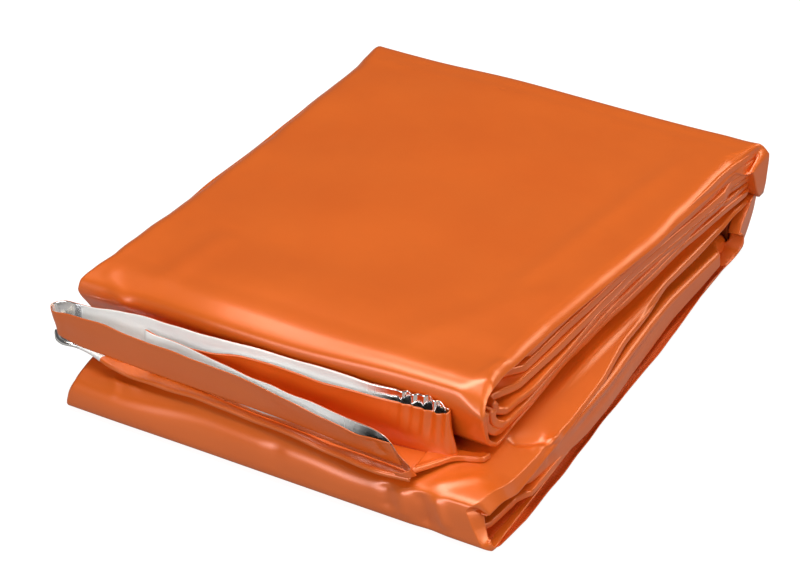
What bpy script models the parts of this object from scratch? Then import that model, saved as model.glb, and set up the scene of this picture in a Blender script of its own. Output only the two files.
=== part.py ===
"""Folded emergency bivy sack: a film bag, orange outside and aluminised inside, folded into a packet.

The packet is two folded halves stacked like a closed book, with the fold that joins them at the back,
and the bag's open mouth standing on edge in front of the upper half. Metres, +Z up, +X to the right
along the front, +Y towards the spine. The origin is the centre of the packet's footprint, on the
surface it lies on.
"""

from math import cos, pi, radians, sin, sqrt

import bmesh
import bpy

# Driving dimensions of the whole packet.
PACKET_WIDTH = 0.1212
PACKET_DEPTH = 0.160
PACKET_HEIGHT = 0.032

# The film is some 0.03 mm thick. A wall here stands for the few layers that lie pressed together.
WALL = 0.0008
RIBBON = 0.0006
GAP = 0.0003

# The plane between the halves climbs towards the back, where the lower half is the thicker one.
SPLIT_FRONT = 0.0135
SPLIT_RISE = 0.0030

# Lower half.
FRONT = -PACKET_DEPTH / 2
LOWER_LEFT = -0.0560
LOWER_RIGHT = 0.0576
LOWER_BACK = 0.0692
LOWER_PLEATS = 4

# Seams: welds of the two film panels. The side seam is the flat flange along the packet's right foot,
# and the foot seam closes the bag's far end, folded in behind the lower pleats.
SEAM_RIGHT = PACKET_WIDTH / 2
SEAM_FRONT = FRONT + 0.0066
FOOT_SEAM_Y = 0.0702
FOOT_SEAM_SIDE = 0.0540
FOOT_SEAM_FLOOR = 0.0040
FOOT_SEAM_ROOF = 0.0115

# Upper half: set back from the front to leave the ledge on which the mouth stands, and over the back.
UPPER_FRONT = -0.0635
UPPER_LEFT = -0.0602
UPPER_RIGHT_AT_FRONT = 0.0490
UPPER_RIGHT_AT_BACK = 0.0568
UPPER_BACK = 0.0738
UPPER_PLEATS = 6

# Pleats: folded panels of film that lie between a half's outer layers and stop short of their edges.
PLEAT_SETBACK = 0.0016
PLEAT_STAGGER = 0.0012
PLEAT_ROUNDING = 0.0007
PLEAT_REACH = 0.9

# Spine: the outer layer where it turns round the back, creased at the height where the book opens. The
# bends are set in front of the spine's rearmost line, each at its own height.
SPINE_Y = PACKET_DEPTH / 2
SPINE_Z = PACKET_HEIGHT / 2
SPINE_SIDE = 0.0565
SPINE_FOOT = 0.00044
LOWER_SPINE_BENDS = ((0.0065, 0.0024), (0.0032, 0.0071))
LOWER_SPINE_SETBACK = 0.0016
UPPER_SPINE_SHOULDER = 0.0040
UPPER_SPINE_ROUNDING = 0.0014

# Mouth: the bag's open end, a gusseted ribbon that stands on the ledge.
LEDGE = SPLIT_FRONT + 0.0001
UNDER_TOP = LEDGE + RIBBON
ROOT = UNDER_TOP + GAP
REAR_TOP = 0.0262
GUSSET_REAR_TOP = 0.0240
GUSSET_FRONT_TOP = 0.0222
FRONT_TOP = 0.0232
MOUTH_LEFT = -0.0573
MOUTH_SLIT = -0.0385
REAR_RIGHT = 0.0400
FRONT_RIGHT = 0.0360
GUSSET_FRONT_RIGHT = 0.0330
REAR_LEFT_Y = -0.0705
REAR_RIGHT_Y = -0.0660
GUSSET_REAR_LEFT_Y = -0.0722
GUSSET_REAR_RIGHT_Y = -0.0680
GUSSET_FRONT_LEFT_Y = -0.0740
GUSSET_FRONT_RIGHT_Y = -0.0764
FRONT_LEFT_Y = -0.0762
FRONT_RIGHT_Y = -0.0788
UNDER_BACK = -0.0642
UNDER_FRONT = -0.0790
TONGUE_FRONT = -0.0750
TONGUE_RIGHT = 0.0500

ARC_STEPS = 10
HALF_TURN = pi
SHARP_FROM = radians(40)
BEVEL_SEGMENTS = 2

COLLECTION = "bivy_sack"


def clear_scene():
    for obj in list(bpy.data.objects):
        bpy.data.objects.remove(obj, do_unlink=True)


def new_collection(name):
    collection = bpy.data.collections.new(name)
    bpy.context.scene.collection.children.link(collection)
    return collection


def film_material(name, colour, metallic, roughness):
    material = bpy.data.materials.new(name)
    material.use_nodes = True
    shader = material.node_tree.nodes["Principled BSDF"]
    shader.inputs["Base Color"].default_value = (*colour, 1.0)
    shader.inputs["Metallic"].default_value = metallic
    shader.inputs["Roughness"].default_value = roughness
    return material


def blend_between(low, high, share):
    return low + (high - low) * share


def depth_share(y):
    """0 at the packet's front edge and 1 at its back edge."""
    return (y - FRONT) / PACKET_DEPTH


def split_height(y):
    """Height of the plane between the two halves."""
    return SPLIT_FRONT + SPLIT_RISE * depth_share(y)


def arc(centre, radius, start, sweep):
    """Points of a round stretch, both ends included."""
    points = []
    for step in range(ARC_STEPS + 1):
        angle = start + sweep * step / ARC_STEPS
        points.append((centre[0] + radius * cos(angle), centre[1] + radius * sin(angle)))
    return points


def add_object(name, mesh_data, material, parent=None):
    mesh = bpy.data.meshes.new(name)
    mesh_data.to_mesh(mesh)
    mesh_data.free()
    mesh.materials.append(material)
    obj = bpy.data.objects.new(name, mesh)
    bpy.data.collections[COLLECTION].objects.link(obj)
    if parent is not None:
        obj.parent = parent
        obj.location = -parent.location
    return obj


def swept_film(name, path, start_of, end_of, thickness, material, parent=None):
    """A film wall: an open path swept from start_of(point) to end_of(point), and made solid."""
    bm = bmesh.new()
    near = [bm.verts.new(start_of(point)) for point in path]
    far = [bm.verts.new(end_of(point)) for point in path]
    for i in range(len(path) - 1):
        bm.faces.new((near[i], near[i + 1], far[i + 1], far[i]))
    obj = add_object(name, bm, material, parent)
    solidify = obj.modifiers.new("Thickness", "SOLIDIFY")
    solidify.thickness = thickness
    solidify.offset = 0.0
    solidify.use_even_offset = True
    obj.data.shade_smooth()
    obj.data.set_sharp_from_angle(angle=SHARP_FROM)
    return obj


def across(name, path, left_of, right_of, material, parent=None):
    """A wall whose path lies in the side view, swept across the packet."""
    return swept_film(
        name,
        path,
        lambda p: (left_of(p[0]), p[0], p[1]),
        lambda p: (right_of(p[0]), p[0], p[1]),
        WALL,
        material,
        parent,
    )


def upright(name, path, top, material, parent=None):
    """A ribbon of the mouth: its path lies in the plan view, and it stands from its root to top."""
    return swept_film(
        name,
        path,
        lambda p: (p[0], p[1], ROOT),
        lambda p: (p[0], p[1], top),
        RIBBON,
        material,
        parent,
    )


def wedge_panel(name, sides, depths, floor_of, roof_of, material, rounding=0.0, parent=None):
    """A flat folded panel between two heights that depend on y, from a cube whose corners are moved."""
    bm = bmesh.new()
    bmesh.ops.create_cube(bm, size=2.0)
    for vert in bm.verts:
        x = sides[1] if vert.co.x > 0 else sides[0]
        y = depths[1] if vert.co.y > 0 else depths[0]
        z = roof_of(y) if vert.co.z > 0 else floor_of(y)
        vert.co = (x, y, z)
    obj = add_object(name, bm, material, parent)
    if rounding:
        bevel = obj.modifiers.new("Rounding", "BEVEL")
        bevel.width = rounding
        bevel.segments = BEVEL_SEGMENTS
        bevel.limit_method = "NONE"
        obj.data.shade_smooth()
        obj.data.set_sharp_from_angle(angle=SHARP_FROM)
    return obj


def cover_path(front, back, floor_of, roof_of):
    """Side view of a half's outer layer: under side, round fold at the front, top side."""
    radius = (roof_of(front) - floor_of(front)) / 2 - WALL / 2
    centre = (front + WALL / 2 + radius, floor_of(front) + WALL / 2 + radius)
    turn = arc(centre, radius, -HALF_TURN / 2, -HALF_TURN)
    path = [(back, floor_of(back) + WALL / 2), *turn, (back, roof_of(back) - WALL / 2)]
    return path, (centre, radius)


def pleat_stack(prefix, count, fold, sides, back, floor_of, roof_of, material, parent=None):
    """The folded panels that fill a cover. Each reaches as far into its round front fold as it can."""
    centre, radius = fold
    inner_radius = radius - WALL / 2 - GAP
    for i in range(count):

        def level(y, edge):
            low = floor_of(y) + WALL + GAP
            high = roof_of(y) - WALL
            return low + (high - low) * (i + edge) / count - GAP * edge

        reach = max(abs(level(centre[0], 0) - centre[1]), abs(level(centre[0], 1) - centre[1]))
        front = centre[0] - sqrt(max(inner_radius**2 - reach**2, 0.0)) * PLEAT_REACH
        setback = PLEAT_SETBACK + PLEAT_STAGGER * (i % 2)
        wedge_panel(
            f"{prefix}_{i + 1}",
            (sides[0] + setback, sides[1] - setback),
            (front, back - GAP),
            lambda y: level(y, 0),
            lambda y: level(y, 1),
            material,
            PLEAT_ROUNDING,
            parent,
        )


def axis_empty(name, location):
    empty = bpy.data.objects.new(name, None)
    empty.location = location
    bpy.data.collections[COLLECTION].objects.link(empty)
    return empty


def lower_half(orange):
    """Bottom half of the book: outer layer, its flange, its pleats and the spine's lower half."""

    def floor_of(_):
        return 0.0

    def roof_of(y):
        return split_height(y) - GAP / 2

    path, fold = cover_path(FRONT, LOWER_BACK, floor_of, roof_of)
    across("lower_cover", path, lambda _: LOWER_LEFT, lambda _: LOWER_RIGHT, orange)
    sides = (LOWER_LEFT, LOWER_RIGHT)
    pleat_stack("lower_pleat", LOWER_PLEATS, fold, sides, LOWER_BACK, floor_of, roof_of, orange)
    bends = [(SPINE_Y - setback, height) for setback, height in LOWER_SPINE_BENDS]
    spine = [(LOWER_BACK + WALL, SPINE_FOOT), *bends, (SPINE_Y - LOWER_SPINE_SETBACK, SPINE_Z - GAP)]
    across("spine_lower", spine, lambda _: -SPINE_SIDE, lambda _: SPINE_SIDE, orange)


def seams(seam):
    """The two welds that close the bag: along its side, and across its foot."""
    wedge_panel(
        "side_seam",
        (LOWER_RIGHT + GAP, SEAM_RIGHT),
        (SEAM_FRONT, LOWER_BACK - GAP),
        lambda _: 0.0,
        lambda _: WALL,
        seam,
    )
    wedge_panel(
        "foot_seam",
        (-FOOT_SEAM_SIDE, FOOT_SEAM_SIDE),
        (FOOT_SEAM_Y - RIBBON / 2, FOOT_SEAM_Y + RIBBON / 2),
        lambda _: FOOT_SEAM_FLOOR,
        lambda _: FOOT_SEAM_ROOF,
        seam,
    )


def upper_half(orange):
    """Top half of the book. It turns about the spine's crease."""
    axis = axis_empty("book_fold_axis", (0.0, SPINE_Y, SPINE_Z))

    def floor_of(y):
        return split_height(y) + GAP / 2

    def roof_of(_):
        return PACKET_HEIGHT

    def right_of(y):
        share = (y - UPPER_FRONT) / (UPPER_BACK - UPPER_FRONT)
        return blend_between(UPPER_RIGHT_AT_FRONT, UPPER_RIGHT_AT_BACK, share)

    path, fold = cover_path(UPPER_FRONT, UPPER_BACK, floor_of, roof_of)
    across("upper_cover", path, lambda _: UPPER_LEFT, right_of, orange, axis)
    sides = (UPPER_LEFT, UPPER_RIGHT_AT_BACK)
    pleat_stack("upper_pleat", UPPER_PLEATS, fold, sides, UPPER_BACK, floor_of, roof_of, orange, axis)
    edge = SPINE_Y - WALL / 2
    spine = [
        (edge, SPINE_Z + GAP),
        (edge, PACKET_HEIGHT - UPPER_SPINE_SHOULDER),
        (edge - UPPER_SPINE_ROUNDING, PACKET_HEIGHT - UPPER_SPINE_ROUNDING),
        (UPPER_BACK + WALL, PACKET_HEIGHT - WALL / 2),
    ]
    across("spine_upper", spine, lambda _: -SPINE_SIDE, lambda _: SPINE_SIDE, orange, axis)


def mouth(orange, silver):
    """The bag's open end: its walls meet in a round turn at the left, and a gusset folds in at the right."""
    flat_layers = {
        "mouth_under_layer": ((MOUTH_LEFT, FRONT_RIGHT), (UNDER_FRONT, UNDER_BACK)),
        "mouth_tongue": ((FRONT_RIGHT + GAP, TONGUE_RIGHT), (TONGUE_FRONT, UNDER_BACK)),
    }
    for name, (sides, depths) in flat_layers.items():
        wedge_panel(name, sides, depths, lambda _: LEDGE, lambda _: UNDER_TOP, orange)
    rear_path = [(MOUTH_LEFT, REAR_LEFT_Y), (REAR_RIGHT, REAR_RIGHT_Y)]
    upright("mouth_rear_wall", rear_path, REAR_TOP, silver)
    turn_radius = (REAR_RIGHT_Y - GUSSET_REAR_RIGHT_Y) / 2
    turn_centre = (REAR_RIGHT + GAP + RIBBON, GUSSET_REAR_RIGHT_Y + turn_radius)
    gusset_turn = arc(turn_centre, turn_radius, HALF_TURN / 2, -HALF_TURN)
    gusset_rear_path = [*gusset_turn, (MOUTH_SLIT, GUSSET_REAR_LEFT_Y)]
    upright("mouth_gusset_rear", gusset_rear_path, GUSSET_REAR_TOP, orange)

    front_axis = axis_empty("mouth_front_axis", (MOUTH_LEFT, FRONT_LEFT_Y - RIBBON / 2, ROOT))
    gusset_axis = axis_empty("mouth_gusset_axis", (MOUTH_SLIT, GUSSET_FRONT_LEFT_Y - RIBBON / 2, ROOT))
    gusset_path = [(MOUTH_SLIT, GUSSET_FRONT_LEFT_Y), (GUSSET_FRONT_RIGHT, GUSSET_FRONT_RIGHT_Y)]
    upright("mouth_gusset_front", gusset_path, GUSSET_FRONT_TOP, silver, gusset_axis)
    front_path = [(MOUTH_LEFT, FRONT_LEFT_Y), (FRONT_RIGHT, FRONT_RIGHT_Y)]
    upright("mouth_front_wall", front_path, FRONT_TOP, orange, front_axis)
    loop_radius = (REAR_LEFT_Y - FRONT_LEFT_Y) / 2
    loop_centre = (MOUTH_LEFT - GAP, FRONT_LEFT_Y + loop_radius)
    left_turn = arc(loop_centre, loop_radius, HALF_TURN / 2, HALF_TURN)
    upright("mouth_left_turn", left_turn, FRONT_TOP, orange, front_axis)


def main():
    clear_scene()
    new_collection(COLLECTION)
    orange = film_material("orange_film", (0.70, 0.14, 0.018), 0.35, 0.32)
    silver = film_material("silver_film", (0.80, 0.80, 0.82), 1.0, 0.22)
    seam = film_material("seam_film", (0.62, 0.11, 0.015), 0.30, 0.38)
    lower_half(orange)
    seams(seam)
    upper_half(orange)
    mouth(orange, silver)


main()
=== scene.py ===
"""Looks of the folded bivy sack.

Every CAD solid is replaced by strips of thin metallised film, orange outside and silver inside, shaped in
code. Lengths are metres in the part's own frame, and the tables' are mm where their comments say so.
"""

import bpy
import numpy as np
from mathutils import Matrix, Vector


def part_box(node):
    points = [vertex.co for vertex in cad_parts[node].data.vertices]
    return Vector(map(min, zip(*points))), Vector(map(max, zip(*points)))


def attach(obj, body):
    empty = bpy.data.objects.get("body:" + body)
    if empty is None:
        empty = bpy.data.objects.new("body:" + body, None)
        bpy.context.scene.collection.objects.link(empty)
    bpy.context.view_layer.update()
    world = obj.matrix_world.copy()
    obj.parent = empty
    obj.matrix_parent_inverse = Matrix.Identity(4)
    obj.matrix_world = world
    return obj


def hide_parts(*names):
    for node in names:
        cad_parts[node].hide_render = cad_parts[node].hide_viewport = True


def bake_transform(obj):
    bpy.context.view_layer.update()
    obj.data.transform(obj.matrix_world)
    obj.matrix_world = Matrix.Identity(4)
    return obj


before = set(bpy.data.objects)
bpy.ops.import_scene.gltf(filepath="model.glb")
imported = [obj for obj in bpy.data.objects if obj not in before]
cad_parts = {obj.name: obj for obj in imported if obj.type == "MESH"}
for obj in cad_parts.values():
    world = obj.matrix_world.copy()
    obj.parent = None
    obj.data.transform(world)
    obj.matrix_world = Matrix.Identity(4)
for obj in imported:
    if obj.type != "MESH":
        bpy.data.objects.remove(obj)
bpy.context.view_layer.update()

MM = 0.001
DEGREE = np.radians(1)
FILM_THICKNESS = 0.18 * MM
SHELL_SPACING_FINE = 0.45 * MM
SHELL_SPACING_COARSE = 1.1 * MM
PLEAT_SPACING = 0.9 * MM
SIDE_PANEL_SPACING = 0.8 * MM

ORANGE_SLOT = "orange_film"
SILVER_SLOT = "silver_film"
SEAM_SLOT = "seam_film"

# x of the left, middle and right side views. The halves' shape changes smoothly from one to the next.
UPPER_STATIONS = (-56 * MM, -20 * MM, 46 * MM)
LOWER_STATIONS = (-50 * MM, -15 * MM, 50 * MM)

# ---- Curves and surfaces ----


def smooth_step(value, low, high):
    """0 below low, 1 above high, and a smooth climb between."""
    share = np.clip((np.asarray(value, dtype=float) - low) / (high - low), 0.0, 1.0)
    return share * share * (3.0 - 2.0 * share)


def bump(value, centre, width):
    """A smooth hump of height 1."""
    return np.exp(-(((np.asarray(value, dtype=float) - centre) / width) ** 2))


def mix(low, high, share):
    """low where share is 0, high where it is 1."""
    return low + (high - low) * share


def spline(knots, values, at):
    """Catmull-Rom through values at knots. values may have any trailing shape."""
    knots = np.asarray(knots, dtype=float)
    values = np.asarray(values, dtype=float)
    at = np.clip(np.asarray(at, dtype=float), knots[0], knots[-1])
    slopes = np.gradient(values, knots, axis=0)
    i = np.clip(np.searchsorted(knots, at, side="right") - 1, 0, len(knots) - 2)
    gap = knots[i + 1] - knots[i]
    t = (at - knots[i]) / gap
    shape = (-1,) + (1,) * (values.ndim - 1)
    t = t.reshape(shape)
    gap = gap.reshape(shape)
    h00 = 2 * t**3 - 3 * t**2 + 1
    h10 = t**3 - 2 * t**2 + t
    h01 = -2 * t**3 + 3 * t**2
    h11 = t**3 - t**2
    return h00 * values[i] + h10 * gap * slopes[i] + h01 * values[i + 1] + h11 * gap * slopes[i + 1]


def chord_knots(points):
    """Knots for a spline, from the lengths between its points."""
    steps = np.linalg.norm(np.diff(points, axis=0), axis=1)
    return np.concatenate([[0.0], np.cumsum(steps)])


def normals_of(grid):
    """Unit normals of a grid of points, rows x columns x 3."""
    down = np.gradient(grid, axis=0)
    along = np.gradient(grid, axis=1)
    normal = np.cross(along, down)
    length = np.linalg.norm(normal, axis=2, keepdims=True)
    return normal / np.maximum(length, 1e-12)


class Swell:
    """Seeded smooth noise: a sum of plane waves."""

    def __init__(self, seed, size, waves=14, stretch=(1.0, 1.0, 1.0)):
        rng = np.random.default_rng(seed)
        direction = rng.normal(size=(waves, 3))
        direction /= np.linalg.norm(direction, axis=1, keepdims=True)
        scale = rng.uniform(0.6, 1.7, size=(waves, 1))
        self.k = direction * scale * (2 * np.pi / size) / np.asarray(stretch)
        self.phase = rng.uniform(0, 2 * np.pi, waves)
        self.weight = (1.0 / scale[:, 0]) / np.sqrt(waves)

    def __call__(self, points):
        return np.sin(points @ self.k.T + self.phase) @ self.weight


def line_ridge(points, start, end, width, height, sharp=False):
    """Height of a ridge along a straight line in space, fading out at both of its ends. Sizes are in mm."""
    taper = 0.25
    start = np.asarray(start) * MM
    end = np.asarray(end) * MM
    along = end - start
    length = np.linalg.norm(along)
    along = along / length
    offset = points - start
    share = offset @ along / length
    nearest = np.clip(share, 0, 1)[..., None] * along * length
    off_line = np.linalg.norm(offset - nearest, axis=-1) / (width * MM)
    profile = np.exp(-off_line) if sharp else np.exp(-(off_line**2))
    ends = smooth_step(share, -0.02, taper) * (1 - smooth_step(share, 1 - taper, 1.02))
    return height * MM * profile * ends


def dent(points, centre, radius, depth):
    """Depth of a smooth dent, negative into the surface. Sizes are in mm."""
    distance = np.linalg.norm((points - np.asarray(centre) * MM) / (np.asarray(radius) * MM), axis=-1)
    return -depth * MM * np.exp(-(distance**2))


def with_relief(grid, ridges, dents=()):
    """The grid raised along its normals by tables of line_ridge and dent settings."""
    heights = [line_ridge(grid, *ridge) for ridge in ridges] + [dent(grid, *hollow) for hollow in dents]
    return grid + normals_of(grid) * sum(heights)[..., None]


def press(points, origin, facing, give, soft):
    """Flattens whatever stands past a plane towards it, which leaves a facet with a crease round it."""
    facing = np.asarray(facing, dtype=float)
    facing = facing / np.linalg.norm(facing)
    past = (points - np.asarray(origin) * MM) @ facing
    soft = soft * MM
    past = soft * np.logaddexp(0.0, past / soft)
    return points - (give * past)[..., None] * facing


def section(params, counts):
    """Right half of a folded strip's cross-section, as (out, in) offsets from the strip's middle line.

    params are edge, radius, turn, flank, lip_radius and lip, and each may differ along the strip. The
    section runs flat to the shoulder at edge, turns down over it, goes straight down the flank, folds back
    under at the lip and runs inwards. counts are the numbers of faces in those five parts.
    """
    edge, radius, turn, flank, lip_radius, lip = [np.asarray(p, dtype=float)[:, None] for p in params]
    flat_n, arc_n, flank_n, lip_arc_n, lip_n = counts
    t = (np.linspace(0, 1, flat_n + 1)[:-1] ** 0.8)[None, :]
    flat = (edge - radius) * t
    outs = [flat]
    ins = [np.zeros_like(flat)]
    t = np.linspace(0, 1, arc_n + 1)[None, :-1]
    outs.append(edge - radius + radius * np.sin(turn * t))
    ins.append(radius * (1 - np.cos(turn * t)))
    out_end = edge - radius + radius * np.sin(turn)
    in_end = radius * (1 - np.cos(turn))
    t = np.linspace(0, 1, flank_n + 1)[None, :-1]
    outs.append(out_end + flank * t * np.cos(turn))
    ins.append(in_end + flank * t * np.sin(turn))
    out_end = out_end + flank * np.cos(turn)
    in_end = in_end + flank * np.sin(turn)
    t = np.linspace(0, 1, lip_arc_n + 1)[None, :-1]
    heading = turn + (np.pi - turn) * t
    outs.append(out_end + lip_radius * (np.sin(heading) - np.sin(turn)))
    ins.append(in_end + lip_radius * (np.cos(turn) - np.cos(heading)))
    out_end = out_end - lip_radius * np.sin(turn)
    in_end = in_end + lip_radius * (np.cos(turn) + 1)
    t = np.linspace(0, 1, lip_n + 1)[None, :]
    outs.append(out_end - lip * t)
    ins.append(in_end + 0.0 * t)
    return np.concatenate(outs, axis=1), np.concatenate(ins, axis=1)


def film_object(name, grid, material_out, material_in):
    """A sheet of film from a grid of points. Its first material faces along the grid's normals."""
    rows, cols = grid.shape[:2]
    index = np.arange(rows * cols).reshape(rows, cols)
    corners = [index[:-1, :-1], index[:-1, 1:], index[1:, 1:], index[1:, :-1]]
    quads = np.stack(corners, axis=-1).reshape(-1, 4)
    mesh = bpy.data.meshes.new(name)
    mesh.from_pydata(grid.reshape(-1, 3).tolist(), [], quads.tolist())
    mesh.update()
    mesh.materials.append(material_out)
    mesh.materials.append(material_in)
    mesh.shade_smooth()
    obj = bpy.data.objects.new(name, mesh)
    bpy.context.scene.collection.objects.link(obj)
    solidify = obj.modifiers.new("Film", "SOLIDIFY")
    solidify.thickness = FILM_THICKNESS
    solidify.offset = -1.0
    solidify.use_even_offset = False
    solidify.material_offset = 1
    solidify.material_offset_rim = 0
    return obj


def strip_surface(path_of, left, right, counts, way):
    """A folded strip: path_of(x) gives (y, z) along the strip for each x across it.

    way is 1 where the path runs round its stack with the outside on its left, and -1 on its right.
    """
    left_out, left_in = section(left, counts)
    right_out, right_in = section(right, counts)
    out = np.concatenate([-left_out[:, :0:-1], right_out], axis=1)
    inward = np.concatenate([left_in[:, :0:-1], right_in], axis=1)
    side = path_of(out)
    tangent = np.gradient(side, axis=0)
    tangent /= np.linalg.norm(tangent, axis=2, keepdims=True)
    normal = way * np.stack([-tangent[..., 1], tangent[..., 0]], axis=-1)
    points = np.empty(out.shape + (3,))
    points[..., 0] = out
    points[..., 1] = side[..., 0] - normal[..., 0] * inward
    points[..., 2] = side[..., 1] - normal[..., 1] * inward
    return points if way > 0 else points[:, ::-1]


# ---- Materials ----


RIDGED = "RIDGED_MULTIFRACTAL"


class Nodes:
    """Short calls for a material's nodes. sockets are a node's input values by name."""

    def __init__(self, material):
        material.use_nodes = True
        self.tree = material.node_tree
        self.tree.nodes.clear()

    def add(self, kind, sockets=(), **settings):
        node = self.tree.nodes.new(kind)
        for key, value in settings.items():
            setattr(node, key, value)
        for name, value in dict(sockets).items():
            node.inputs[name].default_value = value
        return node

    def finish(self, shader):
        out = self.add("ShaderNodeOutputMaterial")
        self.link(shader.outputs["BSDF"], out.inputs["Surface"])

    def link(self, output, socket):
        self.tree.links.new(output, socket)

    def noise(self, vector, scale, detail=3.0, rough=0.5, distortion=0.0, kind="FBM"):
        sockets = {"Scale": scale, "Detail": detail, "Roughness": rough, "Distortion": distortion}
        node = self.add("ShaderNodeTexNoise", sockets, noise_type=kind)
        self.link(vector, node.inputs["Vector"])
        return node.outputs["Fac"]

    def stretch(self, vector, scale):
        node = self.add("ShaderNodeMapping", {"Scale": scale})
        self.link(vector, node.inputs["Vector"])
        return node.outputs["Vector"]

    def ramp(self, value, low, high, out_low=0.0, out_high=1.0):
        sockets = {"From Min": low, "From Max": high, "To Min": out_low, "To Max": out_high}
        node = self.add("ShaderNodeMapRange", sockets)
        self.link(value, node.inputs["Value"])
        return node.outputs["Result"]

    def math(self, operation, a, b):
        node = self.add("ShaderNodeMath", operation=operation)
        self.link(a, node.inputs[0])
        self.link(b, node.inputs[1])
        return node.outputs["Value"]

    def blend(self, factor, first, second):
        node = self.add("ShaderNodeMix", {"A": (*first, 1.0), "B": (*second, 1.0)}, data_type="RGBA")
        self.link(factor, node.inputs["Factor"])
        return node.outputs["Result"]

    def bump(self, height, strength, distance, normal=None):
        node = self.add("ShaderNodeBump", {"Strength": strength, "Distance": distance})
        self.link(height, node.inputs["Height"])
        if normal is not None:
            self.link(normal, node.inputs["Normal"])
        return node.outputs["Normal"]


ORANGE_FINISH = {
    "Metallic": 0.25,
    "Specular IOR Level": 0.0,
    "Coat Weight": 1.0,
    "Coat Roughness": 0.30,
    "Coat IOR": 1.75,
}
WELD_FINISH = {"Metallic": 0.40, "Roughness": 0.42, "Coat Weight": 0.25, "Coat Roughness": 0.25}
ORANGE_COLOUR = (0.80, 0.150, 0.010)
ORANGE_CLOUDED = (0.77, 0.138, 0.008)
SILVER_COLOUR = (0.96, 0.96, 0.965)
SILVER_CLOUDED = (0.92, 0.92, 0.93)
WELD_COLOUR = (0.72, 0.10, 0.008)
WELD_CLOUDED = (0.60, 0.075, 0.006)


def orange_film():
    """Tinted metallised film: satin body colour, a soft clear gloss over it, faint crinkles and haze."""
    material = bpy.data.materials.new("orange_film")
    n = Nodes(material)
    place = n.add("ShaderNodeTexCoord").outputs["Object"]
    cloud = n.noise(place, 38.0, 4.0, 0.55)
    colour = n.blend(n.ramp(cloud, 0.38, 0.66), ORANGE_COLOUR, ORANGE_CLOUDED)
    shader = n.add("ShaderNodeBsdfPrincipled", ORANGE_FINISH)
    n.link(colour, shader.inputs["Base Color"])
    haze = n.noise(place, 160.0, 5.0, 0.6)
    n.link(n.ramp(haze, 0.3, 0.75, 0.35, 0.46), shader.inputs["Roughness"])
    crinkle = n.noise(n.stretch(place, (1.0, 0.55, 1.0)), 95.0, 5.0, 0.55, 0.6, RIDGED)
    crease = n.noise(place, 420.0, 4.0, 0.6)
    first = n.bump(crinkle, 0.10, 0.0006)
    n.link(n.bump(crease, 0.05, 0.00012, first), shader.inputs["Normal"])
    n.finish(shader)
    return material


# Where the silver changes from satin to mirror-like: (none of it, all of it) along x or z.
CREASED_AT_RIGHT = (16 * MM, 26 * MM)
CREASED_AT_LEFT = (-55.5 * MM, -56.5 * MM)
CREASED_BELOW = (17.8 * MM, 16.4 * MM)
CREASED_BELOW_FROM = (-42 * MM, -38 * MM)


def silver_film():
    """Aluminised inside of the film: satin where smooth, mirror-like at its creased ends and its foot."""
    material = bpy.data.materials.new("silver_film")
    n = Nodes(material)
    place = n.add("ShaderNodeTexCoord").outputs["Object"]
    shader = n.add("ShaderNodeBsdfPrincipled")
    cloud = n.noise(place, 120.0, 4.0, 0.6)
    n.link(n.blend(n.ramp(cloud, 0.35, 0.7), SILVER_COLOUR, SILVER_CLOUDED), shader.inputs["Base Color"])
    where = n.add("ShaderNodeSeparateXYZ")
    n.link(place, where.inputs["Vector"])
    at_right = n.ramp(where.outputs["X"], *CREASED_AT_RIGHT)
    at_left = n.ramp(where.outputs["X"], *CREASED_AT_LEFT)
    low = n.ramp(where.outputs["Z"], *CREASED_BELOW)
    at_foot = n.math("MINIMUM", low, n.ramp(where.outputs["X"], *CREASED_BELOW_FROM))
    creased = n.math("MAXIMUM", n.math("MAXIMUM", at_right, at_left), at_foot)
    n.link(n.ramp(creased, 0.0, 1.0, 0.25, 1.0), shader.inputs["Metallic"])
    n.link(n.ramp(creased, 0.0, 1.0, 0.40, 0.14), shader.inputs["Roughness"])
    crinkle = n.noise(n.stretch(place, (1.0, 1.0, 0.45)), 260.0, 5.0, 0.55, 0.8, RIDGED)
    n.link(n.bump(crinkle, 0.16, 0.0004), shader.inputs["Normal"])
    n.finish(shader)
    return material


def seam_film():
    """The orange film where the weld has pressed it: duller, with the sealing bar's fine ribs across it."""
    material = bpy.data.materials.new("seam_film")
    n = Nodes(material)
    place = n.add("ShaderNodeTexCoord").outputs["Object"]
    shader = n.add("ShaderNodeBsdfPrincipled", WELD_FINISH)
    cloud = n.noise(place, 90.0, 4.0, 0.6)
    n.link(n.blend(n.ramp(cloud, 0.35, 0.7), WELD_COLOUR, WELD_CLOUDED), shader.inputs["Base Color"])
    sockets = {"Scale": 320.0, "Distortion": 0.0}
    ribs = n.add("ShaderNodeTexWave", sockets, wave_type="BANDS", bands_direction="Y")
    n.link(place, ribs.inputs["Vector"])
    n.link(n.bump(ribs.outputs["Fac"], 0.35, 0.00008), shader.inputs["Normal"])
    n.finish(shader)
    return material


ORANGE = orange_film()
SILVER = silver_film()
SEAM = seam_film()

# ---- Outer layers ----

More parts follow.
